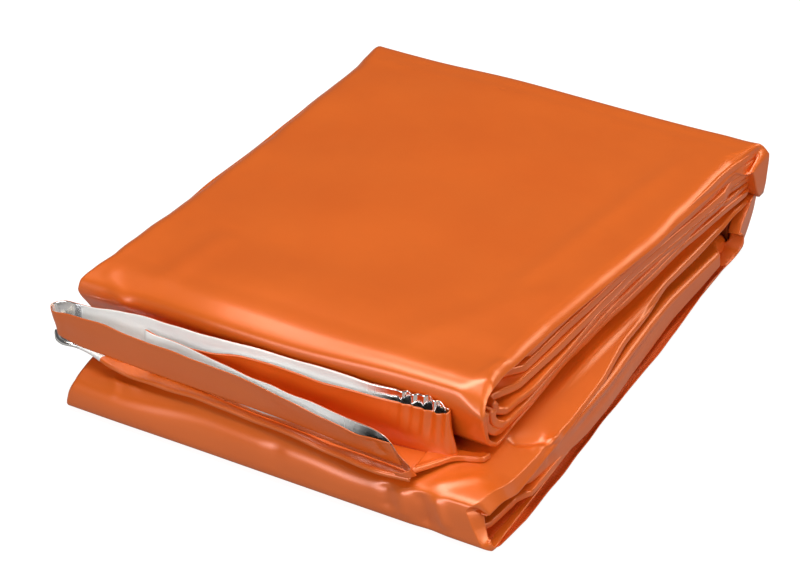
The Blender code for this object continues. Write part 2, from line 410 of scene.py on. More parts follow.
# Side views (y, z) of the two outer layers, in mm: from the inner back edge, forwards, round the front
# fold, back along the outside and up or down the spine. Each layer has one at its left, in its middle and
# at its right.
UPPER_LEFT_VIEW = [
    (77, 16.9), (30, 15.9), (-20, 15), (-48, 14.5), (-57.5, 14.4), (-60.2, 16.2), (-62.6, 20),
    (-64.6, 24.4), (-63.6, 27.2), (-59.4, 29.3), (-52, 30.2), (-30, 30.7), (20, 31), (66, 31.6),
    (72, 31.7), (78.8, 30.7), (80, 28), (79.9, 20), (79.9, 16.3),
]
UPPER_MIDDLE_VIEW = [
    (77, 16.9), (30, 15.9), (-20, 15), (-50, 14.4), (-59.6, 14.3), (-62.2, 16.3), (-64.6, 20.6),
    (-66.3, 25), (-65.8, 28.2), (-61.8, 30.6), (-54, 31.5), (-30, 31.4), (20, 31.5), (66, 31.8),
    (72, 31.9), (78.9, 31), (80.1, 28.4), (79.9, 20), (79.9, 16.3),
]
UPPER_RIGHT_VIEW = [
    (77, 16.9), (30, 15.9), (-20, 15), (-50, 14.4), (-59.6, 14.3), (-62, 16.2), (-63.8, 20.8),
    (-65.2, 26.4), (-64.4, 29.6), (-61, 31.2), (-54, 31.7), (-30, 31.5), (20, 31.6), (66, 31.7),
    (72, 31.8), (78.9, 31), (80.1, 28.4), (79.9, 20), (79.9, 16.3),
]
LOWER_FLOOR_AND_SPINE = [
    (-78.2, 0.35), (-72, 0.3), (-30, 0.3), (20, 0.3), (62, 0.3), (69.5, 0.6), (73.2, 2.4), (76, 6.4),
    (78.4, 11), (79.9, 15.7),
]
LOWER_LEFT_VIEW = [
    (77, 16.1), (30, 15.2), (-30, 13.9), (-58, 12.8), (-68, 11.6), (-74.2, 10.2), (-78.4, 8.3),
    (-80.1, 5), (-79.9, 1.6),
] + LOWER_FLOOR_AND_SPINE
LOWER_MIDDLE_VIEW = [
    (77, 16.1), (30, 15.2), (-30, 14), (-60, 13.4), (-70, 13), (-75.4, 12), (-79, 9.2), (-80.2, 5.2),
    (-79.9, 1.7),
] + LOWER_FLOOR_AND_SPINE
LOWER_RIGHT_VIEW = [
    (77, 16.1), (30, 15), (-30, 13.7), (-60, 13.1), (-70, 12.8), (-77.8, 12), (-79.5, 10), (-80, 5.4),
    (-79.8, 1.6),
] + LOWER_FLOOR_AND_SPINE

# Faces across the five parts of a section: flat, shoulder, flank, lip's turn and lip.
SECTION_COUNTS = (70, 14, 10, 8, 8)
PLEAT_COUNTS = (60, 6, 3, 6, 6)


def samples_along(views, fine, coarse, fine_from, fine_to):
    """Knots of the middle view and sample positions along it, closer together between two of its points."""
    knots = chord_knots(np.array(views[1]) * MM)
    grid = [knots[0]]
    while grid[-1] < knots[-1]:
        near = knots[fine_from] <= grid[-1] <= knots[fine_to]
        grid.append(grid[-1] + (fine if near else coarse))
    grid = np.array(grid)
    return knots, grid * knots[-1] / grid[-1]


def shell_path(views, stations, knots, samples):
    """path_of(x) for a shell whose side view changes smoothly from left to right."""
    curves = np.stack([spline(knots, np.array(view) * MM, samples) for view in views])

    def path_of(x):
        left, middle, right = (curve[:, None, :] for curve in curves)
        to_middle = smooth_step(x, stations[0], stations[1])[..., None]
        to_right = smooth_step(x, stations[1], stations[2])[..., None]
        return left + (middle - left) * to_middle + (right - middle) * to_right

    return path_of, curves[1]


def side_by_rows(knots, samples, rows, lip_radius):
    """Settings for section() of one side, from its rows for the side view's points."""
    edge, radius, turn, flank, lip = (np.interp(samples, knots, column) for column in zip(*rows))
    lip_radius = np.full(len(samples), lip_radius)
    return [edge * MM, radius * MM, turn * DEGREE, flank * MM, lip_radius, lip * MM]


def by_depth(curve, pairs):
    """Lengths that depend on how far back a point lies: pairs are (y, length) in mm."""
    ys = np.array([pair[0] for pair in pairs]) * MM
    return np.interp(curve[:, 0], ys, [pair[1] for pair in pairs]) * MM


def near_side(points, start, end):
    """0 in the middle of the packet, 1 at its sides: start and end are distances from the middle, in mm."""
    return smooth_step(np.abs(points[..., 0]), start * MM, end * MM)


def wander(points, seed, size, amount, stretch=(1.0, 1.0, 1.0)):
    """Smooth random offset of every point. size and amount, the latter along x, y and z, are in mm."""
    offsets = [Swell(seed + i, size * MM, stretch=stretch)(points) for i in range(3)]
    return np.stack(offsets, axis=-1) * np.asarray(amount) * MM


# Sides of the outer layers, a row for each point of their side views: (edge, radius, turn, flank, lip).
# Edge is the half width, and turn the slope in degrees to which the shoulder turns down. The rest is in mm.
UPPER_RIGHT_SIDE = [
    (53.5, 0.6, 60, 0.3, 8), (52.5, 0.6, 60, 0.3, 8), (49.6, 0.6, 60, 0.3, 8), (50.2, 0.6, 60, 0.3, 8),
    (50.2, 0.6, 70, 0.3, 7), (49.4, 0.6, 80, 0.4, 5), (49.2, 0.6, 80, 0.5, 4), (49.4, 0.7, 80, 0.5, 4),
    (49.6, 0.8, 75, 0.5, 4), (48.9, 2, 62, 0.5, 5), (48.7, 3.6, 56, 0.4, 7), (49.6, 4.4, 56, 0.4, 8),
    (54.6, 4.4, 56, 0.4, 8), (55.9, 4.4, 62, 1.2, 8), (56.4, 1.8, 84, 5.5, 6), (58.2, 0.7, 98, 9, 4),
    (60, 0.6, 102, 9, 4), (60, 0.6, 96, 5, 4), (59.6, 0.6, 90, 2.5, 4),
]
UPPER_LEFT_SIDE = [
    (59.5, 0.6, 60, 0.3, 8), (59.5, 0.6, 60, 0.3, 8), (59.5, 0.6, 60, 0.3, 8), (59.6, 0.6, 60, 0.3, 8),
    (59.6, 0.6, 70, 0.3, 7), (60.2, 0.5, 75, 0.4, 5), (61.4, 0.5, 75, 0.5, 4), (62.6, 0.5, 75, 0.5, 4),
    (62.4, 0.8, 72, 0.5, 4), (61.6, 2, 66, 0.6, 5), (60.9, 3.6, 64, 0.6, 7), (60.4, 5.2, 64, 0.6, 8),
    (60.4, 5.6, 64, 0.6, 8), (60.4, 5.6, 64, 0.6, 8), (60.2, 4, 66, 1.5, 6), (59.6, 1.5, 75, 4, 4),
    (59, 1, 80, 6, 4), (58.6, 1, 80, 6, 4), (58.6, 1, 80, 5, 4),
]
UPPER_LIP_RADIUS = 0.4 * MM

# Ridges: (start, end, width, height, and whether it is sharp). Dents: (centre, radii, depth). In mm.
UPPER_RIDGES = (
    ((-58, -58, 28), (-46, -66, 24), 1.8, 0.5),
    ((36, -58, 31), (45, -64, 25), 1.4, 0.35),
    ((47, -48, 31), (44, -60, 30), 1.3, 0.4),
    ((-42, -62, 30), (-38, -30, 31), 4, 0.35),
    ((20, -60, 31), (46, -10, 31.5), 5, 0.30),
    ((33, -30, 31.6), (44, 66, 31.7), 3.2, 0.4),
)
UPPER_DENTS = (
    ((41, -50, 31), (7, 5, 6), 0.35),
    ((-20, -30, 31), (16, 9, 6), 0.25),
    ((12, 30, 31), (22, 14, 6), 0.25),
)
CORNER_FACET_AT = (47.4, -61.8, 28.6)
CORNER_FACET_FACING = (0.5, -0.55, 0.67)
# Settings for wander: (seed, size, amount, and perhaps how far it is stretched along x, y and z).
UPPER_WAVES = (11, 55, (0, 0.25, 0.28))
UPPER_SIDE_WAVES = (21, 13, (0.05, 0.10, 0.10))


def upper_shell():
    """Outer layer of the upper half, from its under side round the front fold and the top to the spine."""
    views = (UPPER_LEFT_VIEW, UPPER_MIDDLE_VIEW, UPPER_RIGHT_VIEW)
    knots, samples = samples_along(views, SHELL_SPACING_FINE, SHELL_SPACING_COARSE, 3, 11)
    path_of, _ = shell_path(views, UPPER_STATIONS, knots, samples)
    right = side_by_rows(knots, samples, UPPER_RIGHT_SIDE, UPPER_LIP_RADIUS)
    left = side_by_rows(knots, samples, UPPER_LEFT_SIDE, UPPER_LIP_RADIUS)
    grid = strip_surface(path_of, left, right, SECTION_COUNTS, 1)
    grid = press(grid, CORNER_FACET_AT, CORNER_FACET_FACING, give=0.75, soft=0.25)
    grid = grid + wander(grid, *UPPER_WAVES)
    grid = grid + wander(grid, *UPPER_SIDE_WAVES) * near_side(grid, 40, 58)[..., None]
    return with_relief(grid, UPPER_RIDGES, UPPER_DENTS)


LEDGE_DROOP_FROM = 46.0
LEDGE_DROOP_TO = 58.5
LEDGE_DROOP = 2.7 * MM
CREST_SAG = 1.8 * MM
CREST_SAG_AT = 27 * MM
CREST_SAG_WIDTH = 13 * MM


def ledge_droop(points):
    """How far the lower half's roof has come down at its right edge."""
    share = np.clip((points[..., 0] / MM - LEDGE_DROOP_FROM) / (LEDGE_DROOP_TO - LEDGE_DROOP_FROM), 0, 1)
    behind_corner = smooth_step(points[..., 1], -74 * MM, -64 * MM)
    before_spine = 1 - smooth_step(points[..., 1], 58 * MM, 68 * MM)
    on_roof = smooth_step(points[..., 2], 8.5 * MM, 10.5 * MM)
    return LEDGE_DROOP * share**1.7 * behind_corner * before_spine * on_roof


def crest_sag(points):
    """How far the ledge's front edge sags between the mouth's right end and the corner."""
    across = bump(points[..., 0], CREST_SAG_AT, CREST_SAG_WIDTH)
    at_front = smooth_step(-points[..., 1], 58 * MM, 78 * MM)
    near_roof = smooth_step(points[..., 2], 4 * MM, 11 * MM)
    return CREST_SAG * across * at_front * near_roof


LOWER_RIGHT_SIDE = [
    (56, 0.6, 56, 0.5, 8), (54.2, 0.6, 56, 0.5, 8), (58.4, 0.6, 56, 0.5, 8), (58, 0.6, 56, 2, 6),
    (57.4, 0.5, 58, 2.8, 4), (55.4, 0.45, 58, 4, 3), (53.2, 0.4, 60, 4.4, 3), (55.6, 0.4, 66, 3, 3),
    (58, 0.4, 60, 1.8, 3), (59.6, 0.4, 50, 0.5, 4), (59.4, 0.4, 50, 0.2, 8), (57.6, 0.4, 50, 0.1, 8),
    (57.2, 0.4, 50, 0.1, 8), (56.6, 0.4, 50, 0.1, 8), (56.6, 0.5, 60, 6, 4), (57.2, 0.8, 80, 8, 3),
    (57.6, 0.8, 86, 7.5, 3), (57.8, 0.8, 86, 6, 3), (57.8, 0.8, 86, 3, 3),
]
LOWER_LEFT_SIDE = [
    (56, 2, 60, 0.5, 8), (56, 2, 60, 0.5, 8), (56, 2, 60, 0.5, 8), (55.6, 2, 60, 0.5, 6),
    (55.2, 1.8, 60, 0.5, 4), (55, 1.4, 60, 0.5, 3), (55, 1.2, 60, 0.5, 3), (56, 1, 60, 0.5, 3),
    (56.6, 0.8, 60, 0.5, 3), (56.8, 0.5, 60, 0.5, 4), (57, 0.4, 60, 0.5, 8), (57, 0.4, 60, 0.5, 8),
    (57, 0.4, 60, 0.5, 8), (57, 0.4, 60, 0.5, 8), (57, 0.5, 62, 5, 4), (57, 0.8, 80, 10, 3),
    (57, 0.8, 84, 9, 3), (57, 0.8, 84, 7, 3), (57, 0.8, 84, 4, 3),
]
LOWER_LIP_RADIUS = 0.35 * MM

# The roof's right edge by depth: (y, x) in mm.
ROOF_RIGHT_EDGE = (
    (-70, 57.4), (-60, 58), (-36, 58.6), (-17, 58), (0, 55.8), (28, 54), (58, 55.6), (70, 57),
)
ROOF_ENDS_AT_POINT = 4
LOWER_RIDGES = (
    ((50, -54, 13), (58.8, -46.2, 11), 1.7, -1.5, True),
    ((55.4, -53, 12), (60, -41, 10.5), 1.2, 0.8),
    ((51.6, -38, 13.2), (55, 58, 14), 1.1, 0.7),
    ((54.4, -22, 11.6), (56, 62, 12.5), 0.9, 0.5),
    ((32, -79.2, 10.6), (34, -80, 3.5), 1.7, -0.6),
    ((36.5, -79.2, 10.8), (38, -80, 2.5), 1.8, 0.6),
    ((41, -79, 11), (44, -80, 2), 1.5, -0.75),
    ((45, -78.6, 11.4), (49, -80, 3), 1.4, 0.7),
    ((42, -77.6, 11.8), (54, -68, 12.4), 1.8, 0.45),
    ((-46, -72, 11), (-42, -79, 7), 1.4, 0.35),
    ((-52, -76, 9), (-36, -76, 10), 1.2, 0.35),
)
LOWER_DENTS = (
    ((3, -79, 8), (2, 3, 3), 0.35),
    ((44, -79.5, 2.5), (3, 3, 2), 0.4),
    ((-20, -78, 8), (14, 6, 4), 0.3),
)
LOWER_WAVES = (31, 45, (0, 0.25, 0.25))


def lower_shell():
    """Outer layer of the lower half, from its roof round the front fold and the floor to the spine."""
    views = (LOWER_LEFT_VIEW, LOWER_MIDDLE_VIEW, LOWER_RIGHT_VIEW)
    knots, samples = samples_along(views, SHELL_SPACING_FINE, SHELL_SPACING_COARSE, 2, 10)
    path_of, curve = shell_path(views, LOWER_STATIONS, knots, samples)
    right = side_by_rows(knots, samples, LOWER_RIGHT_SIDE, LOWER_LIP_RADIUS)
    left = side_by_rows(knots, samples, LOWER_LEFT_SIDE, LOWER_LIP_RADIUS)
    right[0] = np.where(samples < knots[ROOF_ENDS_AT_POINT], by_depth(curve, ROOF_RIGHT_EDGE), right[0])
    grid = strip_surface(path_of, left, right, SECTION_COUNTS, -1)
    grid[..., 2] -= ledge_droop(grid) + crest_sag(grid)
    off_floor = smooth_step(grid[..., 2], 0.5 * MM, 4 * MM)
    grid = grid + wander(grid, *LOWER_WAVES) * off_floor[..., None]
    return with_relief(grid, LOWER_RIDGES, LOWER_DENTS)


# ---- Pleats: folded strips nested in each half, seen as stacks of rounded edges at its sides ----

PLEAT_EDGE_RADIUS = 1.12
PLEAT_ROUNDING = 0.55
PLEAT_TURN = 78 * DEGREE
PLEAT_LIP = 8 * MM
PLEAT_BACK = 76.0
PLEAT_LEFT_DEPTHS = (-62, 76)
NESTED_SHARES = (0, 0.35, 0.7, 0.95)
NESTED_TURN_ANGLES = np.radians([-75, -45, -15, 15, 45, 75])


def nested_view(front, back, floor, roof):
    """Side view of a strip nested in a half, in mm. floor and roof are its (z at front, z at back)."""
    radius = (roof[0] - floor[0]) / 2
    middle = (roof[0] + floor[0]) / 2
    start = front + radius
    below = [(mix(back, start, share), mix(floor[1], floor[0], share)) for share in NESTED_SHARES]
    turn = [(start - radius * np.cos(a), middle + radius * np.sin(a)) for a in NESTED_TURN_ANGLES]
    above = [(mix(back, start, share), mix(roof[1], roof[0], share)) for share in reversed(NESTED_SHARES)]
    return below + turn + above


def nested_strip(views, stations, right, left, radius, way):
    """A nested strip's grid. right and left are its edges: (y, x) pairs of the floor, then of the roof."""
    if way < 0:
        views = [view[::-1] for view in views]
    knots, samples = samples_along(views, PLEAT_SPACING, PLEAT_SPACING, 0, 1)
    path_of, curve = shell_path(views, stations, knots, samples)
    on_roof = curve[:, 1] > (views[1][0][1] + views[1][-1][1]) / 2 * MM

    def half_round(pairs):
        """An edge folded back on itself, flattened between its two rounded corners."""
        edge = np.where(on_roof, by_depth(curve, pairs[1]), by_depth(curve, pairs[0]))
        same = np.full(len(samples), 1.0)
        face = 2 * (1 - PLEAT_ROUNDING) * radius * MM
        corner = PLEAT_ROUNDING * radius * MM
        return edge, same * corner, same * PLEAT_TURN, same * face, same * corner, same * PLEAT_LIP

    return strip_surface(path_of, half_round(left), half_round(right), PLEAT_COUNTS, way)


# z and y in mm. right is the right edge by depth: the floor's (y, x) pairs, then the roof's.
UPPER_PLEATS = (
    {
        "name": "upper_pleat_film_outer",
        "nodes": ("upper_pleat_1", "upper_pleat_6"),
        "front": -62.6,
        "floor": (14.9, 17.6),
        "roof": (29.2, 30.4),
        "right": (
            ((-62, 48.4), (-60, 49.6), (-7, 50.6), (42, 53.6), (60, 55.4), (74, 57), (77, 56)),
            ((-62, 42), (-46, 43.5), (-40, 48.6), (-5, 50.4), (20, 52.8), (66, 55.8), (77, 57.4)),
        ),
        "left": 59.0,
    },
    {
        "name": "upper_pleat_film_middle",
        "nodes": ("upper_pleat_2", "upper_pleat_5"),
        "front": -60.4,
        "floor": (17.2, 20.0),
        "roof": (26.9, 28.5),
        "right": (
            (
                (-60, 48.6), (-58, 49.8), (-48, 50.6), (-7, 51.2), (42, 54.4), (56, 54.4), (62, 56.4),
                (76, 57.4),
            ),
            ((-60, 41), (-51, 43), (-43, 48.4), (-5, 51), (20, 53), (62, 55.6), (76, 57.8)),
        ),
        "left": 58.4,
    },
    {
        "name": "upper_pleat_film_inner",
        "nodes": ("upper_pleat_3", "upper_pleat_4"),
        "front": -57.6,
        "floor": (19.5, 22.2),
        "roof": (24.6, 26.6),
        "right": (
            (
                (-57, 48.2), (-54, 50), (-44, 51.2), (-7, 51), (42, 54.6), (58, 55.8), (64, 55),
                (75, 57),
            ),
            (
                (-57, 46), (-54, 47.6), (-47, 49.6), (-5, 51.4), (20, 53.2), (58, 56), (64, 55.2),
                (75, 57.2),
            ),
        ),
        "left": 57.8,
    },
)
UPPER_PLEAT_FRONT_SHIFTS = (1.5, 0, 1)
PLEAT_WAVES = (46, (0.55, 0, 0.40), (1, 1.6, 1))
PLEAT_SMALL_WAVES = (12, (0.12, 0, 0.06), (1, 1.6, 1))
FIRST_PLEAT_SEED = 41


def straight(depths, edge):
    """A straight edge as (y, x) pairs in mm."""
    return tuple((y, edge) for y in depths)


def upper_pleat(spec, seed):
    """One of the upper half's nested panels: two of its folded edges show at each side."""
    fronts = [spec["front"] + shift for shift in UPPER_PLEAT_FRONT_SHIFTS]
    views = [nested_view(front, PLEAT_BACK, spec["floor"], spec["roof"]) for front in fronts]
    left = (straight(PLEAT_LEFT_DEPTHS, spec["left"]), straight(PLEAT_LEFT_DEPTHS, spec["left"] - 0.4))
    grid = nested_strip(views, UPPER_STATIONS, spec["right"], left, PLEAT_EDGE_RADIUS, 1)
    side = near_side(grid, 36, 52)[..., None]
    grid = grid + wander(grid, seed, *PLEAT_WAVES) * side
    return grid + wander(grid, seed + 7, *PLEAT_SMALL_WAVES) * side


# The lower half's outermost pleat by depth: (y, value) in mm, or (y, share of its height that it keeps).
SIDE_PANEL_FRONTS = (-76, -76.4, -75)
SIDE_PANEL_BACK = 68.0
SIDE_PANEL_FLOOR = (2.6, 2.8)
SIDE_PANEL_ROOF = (10.9, 9.4)
SIDE_PANEL_MIDDLE = 6.7
SIDE_PANEL_ROOF_EDGE = (
    (-66, 47), (-61.5, 53), (-60, 58), (-58.5, 58.6), (-47, 59.2), (-36, 59.2), (-17, 58.7), (0, 57.6),
    (14, 57), (28, 56.6), (58, 56.8), (62, 54),
)
SIDE_PANEL_FLANK = ((-60, 2.4), (-45, 4), (-30, 5.3), (14, 5.2), (27, 4.6), (45, 4), (58, 3))
SIDE_PANEL_SHOULDER = ((-60, 1.2), (-40, 1.9), (58, 1.7))
FLANK_HEIGHT_KEPT = (
    (-80, 0.86), (-56, 0.88), (-42, 1), (10, 1), (27, 0.97), (58, 0.86), (70, 0.70),
)
FLANK_RIDGES = (
    ((57.5, -47.5, 11), (61.2, -43.6, 8.4), 1.2, 0.55),
    ((59.6, -50, 8), (61, -45.5, 7), 1.3, -0.6),
    ((60, -42, 7.4), (57.4, 30, 7), 1, -0.5),
    ((60, -20, 9.2), (57, 50, 8.6), 0.9, 0.45),
)
FLANK_WAVES = (51, 48, (0.30, 0, 0.20), (1, 1.5, 1))


def lower_side_panel():
    """The lower half's outermost pleat, whose right side hangs down as the packet's flank."""
    shape = (SIDE_PANEL_BACK, SIDE_PANEL_FLOOR, SIDE_PANEL_ROOF)
    views = [nested_view(front, *shape)[::-1] for front in SIDE_PANEL_FRONTS]
    knots, samples = samples_along(views, SIDE_PANEL_SPACING, SIDE_PANEL_SPACING, 0, 1)
    path_of, curve = shell_path(views, LOWER_STATIONS, knots, samples)
    on_roof = curve[:, 1] > SIDE_PANEL_MIDDLE * MM
    same = np.full(len(samples), 1.0)
    right = (
        np.where(on_roof, by_depth(curve, SIDE_PANEL_ROOF_EDGE), 46.0 * MM),
        np.where(on_roof, by_depth(curve, SIDE_PANEL_SHOULDER), 0.9 * MM),
        np.where(on_roof, 85 * DEGREE, 90 * DEGREE),
        np.where(on_roof, by_depth(curve, SIDE_PANEL_FLANK), 0.05 * MM),
        same * 0.5 * MM,
        same * 7 * MM,
    )
    left = tuple(same * value for value in (54.8 * MM, 1.3 * MM, 90 * DEGREE, 0.05 * MM, 1.3 * MM, 8 * MM))
    grid = strip_surface(path_of, left, right, SECTION_COUNTS, -1)
    at_right = smooth_step(grid[..., 0], 44 * MM, 56 * MM)
    grid[..., 2] = mix(grid[..., 2], grid[..., 2] * flank_height_kept(grid), at_right)
    grid = grid + wander(grid, *FLANK_WAVES) * at_right[..., None]
    return with_relief(grid, FLANK_RIDGES)


def flank_height_kept(points):
    """Share of its height that the flank keeps: it sinks towards the corner and the spine's foot."""
    depths, shares = zip(*FLANK_HEIGHT_KEPT)
    return np.interp(points[..., 1] / MM, depths, shares)


INNER_PANEL_FRONTS = (-77.2, -77.4, -77)
INNER_PANEL_BACK = 67.0
INNER_PANEL_FLOOR = (1.6, 1.8)
INNER_PANEL_ROOF = (5.2, 5)
INNER_PANEL_EDGE_RADIUS = 0.8
INNER_PANEL_FLOOR_EDGE = ((-77, 55), (-70, 56), (-60, 55.5), (67, 54))
INNER_PANEL_ROOF_EDGE = (
    (-77, 55), (-73, 56.8), (-62.5, 56.8), (-61, 58.6), (-59.5, 59.6), (-45, 59.6), (-30, 58.8), (0, 56),
    (67, 53),
)
INNER_PANEL_DEPTHS = (-77, 67)
INNER_PANEL_SINK = 1.6 * MM
INNER_PANEL_WAVES = (61, 24, (0.35, 0, 0.15))


def lower_inner_panel():
    """The pleat below it, which lines the hollow at the packet's front right corner."""
    shape = (INNER_PANEL_BACK, INNER_PANEL_FLOOR, INNER_PANEL_ROOF)
    views = [nested_view(front, *shape) for front in INNER_PANEL_FRONTS]
    right = (INNER_PANEL_FLOOR_EDGE, INNER_PANEL_ROOF_EDGE)
    left = (straight(INNER_PANEL_DEPTHS, 54.4), straight(INNER_PANEL_DEPTHS, 54.0))
    grid = nested_strip(views, LOWER_STATIONS, right, left, INNER_PANEL_EDGE_RADIUS, -1)
    at_front = smooth_step(-grid[..., 1], 60 * MM, 63 * MM)
    sink = INNER_PANEL_SINK * at_front * smooth_step(grid[..., 2], 2 * MM, 4 * MM)
    grid[..., 2] -= sink * smooth_step(grid[..., 0], 40 * MM, 52 * MM)
    return grid + wander(grid, *INNER_PANEL_WAVES) * near_side(grid, 36, 54)[..., None]


# ---- Welded seams ----

# The side weld's outer edge: (y, x) in mm, and its hidden inner edge.
SIDE_SEAM_EDGE = (
    (-78.5, 58.8), (-76, 60.2), (-64, 60.9), (-45, 60.2), (-17, 59.4), (27, 58.4), (50, 56.9), (66, 56.8),
    (69, 56),
)
SIDE_SEAM_INNER = 47.5
SIDE_SEAM_HEIGHT = 1.30
SIDE_SEAM_FALL = 0.85
SIDE_SEAM_RIM = 0.35
SIDE_SEAM_WAVES = (71, 22, (0.15, 0, 0.10))
FOOT_SEAM_WAVES = (75, 18, (0, 0.35, 0.1))


def side_seam():
    """The bag's side weld: a flat band that sticks out along the packet's right foot."""
    ys = np.arange(-78.0, 68.5, 0.8)
    depths, edges = zip(*SIDE_SEAM_EDGE)
    out = np.interp(ys, depths, edges)
    share = np.linspace(0, 1, 26)[None, :] ** 0.7
    x = SIDE_SEAM_INNER + (out[:, None] - SIDE_SEAM_INNER) * share
    fall = smooth_step(x, 56.5, 59.5)
    rim = smooth_step(share, 0.93, 1.0)
    z = SIDE_SEAM_HEIGHT - SIDE_SEAM_FALL * fall + SIDE_SEAM_RIM * rim + 0.0 * ys[:, None]
    grid = np.stack([x, np.broadcast_to(ys[:, None], x.shape), z], axis=-1) * MM
    return grid + wander(grid, *SIDE_SEAM_WAVES) * smooth_step(share, 0.2, 0.6)[..., None]


def foot_seam():
    """The weld across the bag's far end, folded in behind the lower half's pleats."""
    low, high = (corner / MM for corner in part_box("foot_seam"))
    x = np.linspace(low.x, high.x, 120)[None, :]
    z = np.linspace(low.z, high.z, 12)[:, None]
    y = (low.y + high.y) / 2 + 0.0 * x + 0.0 * z
    grid = np.stack([x + 0.0 * z, y, z + 0.0 * x], axis=-1) * MM
    return grid + wander(grid, *FOOT_SEAM_WAVES)


SPINE_CREASE_HALF_WIDTH = 57.0
SPINE_CREASE_LINE = ((78.7, 13), (79.3, 14.6), (79.6, 15.7), (79.65, 16.3), (79.65, 17.6), (79.6, 19.2))


def spine_crease():
    """The film inside the spine's crease."""
    line = np.array(SPINE_CREASE_LINE)
    knots = chord_knots(line)
    side = spline(knots, line, np.linspace(0, knots[-1], 26))
    x = np.linspace(-SPINE_CREASE_HALF_WIDTH, SPINE_CREASE_HALF_WIDTH, 90)
    grid = np.empty((len(side), len(x), 3))
    grid[..., 0] = x[None, :]
    grid[..., 1] = side[:, None, 0]
    grid[..., 2] = side[:, None, 1]
    return grid[::-1] * MM


# ---- Mouth: ribbons of film on edge, from a root line on the ledge up to a top line, (x, y, z) in mm ----

RIBBON_ROWS = 26
RIBBON_SPACING = 0.4

REAR_AND_FRONT_TOP = [
    (40.2, -65.7, 25), (38.2, -65.6, 26.2), (35, -65.8, 26.8), (30, -66.2, 26.9), (18, -67.4, 27.1),
    (5, -68.2, 27.3), (-9, -68.8, 27.4), (-23, -69.6, 27.4), (-40, -70.4, 27), (-50, -71.1, 26.4),
    (-57, -71.8, 26.1), (-61.8, -72.8, 25.6), (-63, -74.2, 25.2), (-62, -75.6, 25.1), (-58, -76.1, 25.6),
    (-45, -76.5, 25.6), (-31, -77.2, 25), (-16, -77.9, 25), (-6, -78.3, 24.6), (11.5, -79.5, 22.9),
    (21, -80.1, 22.2), (26, -80.4, 21.8), (29.4, -80.5, 22.3), (33.8, -80.4, 22.9),
]
REAR_AND_FRONT_ROOT = [
    (41.8, -65.8, 13.8), (38.6, -66.2, 13.9), (35, -66.8, 14), (30, -67.6, 14.1), (18, -69.6, 14.2),
    (5, -70.4, 14.3), (-9, -70.8, 14.4), (-23, -71.4, 14.5), (-40, -72, 14.5), (-50, -72.4, 14.6),
    (-56.6, -72.6, 15), (-61, -72.9, 16.4), (-62.2, -73.6, 17.6), (-61.8, -74.4, 17.2),
    (-58, -74.8, 16.4), (-45, -75.2, 16), (-31, -75.6, 15.8), (-16, -75.9, 15.8), (-6, -76.2, 16),
    (11.5, -77.1, 16), (21, -77.6, 15.7), (26, -77.8, 15.6), (30, -77.9, 15.5), (35.9, -78, 15.3),
]
GUSSET_TOP = [
    (34.6, -80.6, 14.9), (37.4, -80.2, 15.2), (38.6, -79, 15.6), (35.8, -79, 19.6), (33.2, -79.5, 22.9),
    (29, -79.2, 23.8), (20, -78.5, 24.1), (11, -77.8, 24.4), (0, -76.8, 25), (-8, -75.9, 25.1),
    (-16, -74.9, 25), (-21, -74.1, 24.9), (-25, -73.5, 25), (-29, -73.1, 25.1), (-36.4, -72.85, 25.7),
    (-36.8, -72.8, 25.75), (-36.4, -72.75, 25.6), (-29, -72.7, 24.7), (-22, -72.1, 24.5),
    (-15, -71.4, 24.9), (-8, -70.9, 25.3), (2.5, -70.3, 25.2), (11, -69.7, 24.9), (26.5, -68.4, 24.7),
    (32, -67.9, 24.4), (36, -67.3, 24.2), (38.9, -66.8, 24.1), (41.2, -66.1, 25.4), (40.8, -65.4, 25.4),
    (38, -65.1, 25.8),
]
GUSSET_ROOT = [
    (35.4, -79.8, 13.7), (38, -79.2, 13.5), (39.2, -77.8, 13.6), (37.6, -77.4, 13.9), (34, -77.2, 14.2),
    (29, -77, 14.2), (20, -76.8, 14.3), (11, -76.4, 14.4), (0, -75.9, 14.5), (-8, -75.4, 14.5),
    (-16, -74.7, 14.5), (-21, -74.1, 14.5), (-25, -73.6, 14.5), (-29, -73.2, 14.5), (-36.4, -72.95, 14.5),
    (-36.8, -72.9, 14.5), (-36.4, -72.85, 14.5), (-29, -72.8, 14.5), (-22, -72.5, 14.4),
    (-15, -72.2, 14.4), (-8, -72, 14.4), (2.5, -71.8, 14.3), (11, -71.4, 14.2), (26.5, -70, 14),
    (32, -69.4, 13.9), (36, -68.8, 13.8), (40, -68, 13.6), (43.2, -66.9, 13.5), (43.8, -66, 13.5),
    (42, -65.4, 13.6),
]


def ribbon(top, root):
    """Grid of a ribbon on edge: rows go from its root up to its top."""
    top = np.array(top)
    root = np.array(root)
    knots = chord_knots(top)
    at = np.linspace(0, knots[-1], int(knots[-1] / RIBBON_SPACING) + 1)
    upper = spline(knots, top, at)
    lower = spline(knots, root, at)
    share = np.linspace(0, 1, RIBBON_ROWS)[:, None, None]
    return (lower + (upper - lower) * share) * MM, share


def crinkles(points, near, reach):
    """Upright waves, in mm, where the film has been gathered: strongest at near, gone at reach."""
    x = points[..., 0] / MM
    strength = smooth_step(x, reach, near)
    waves = 0.6 * np.sin(x * 1.3) + 0.8 * np.sin(x * 2.3 + 1.0) + 0.2 * np.sin(x * 4.6 + 2.0)
    return strength * waves


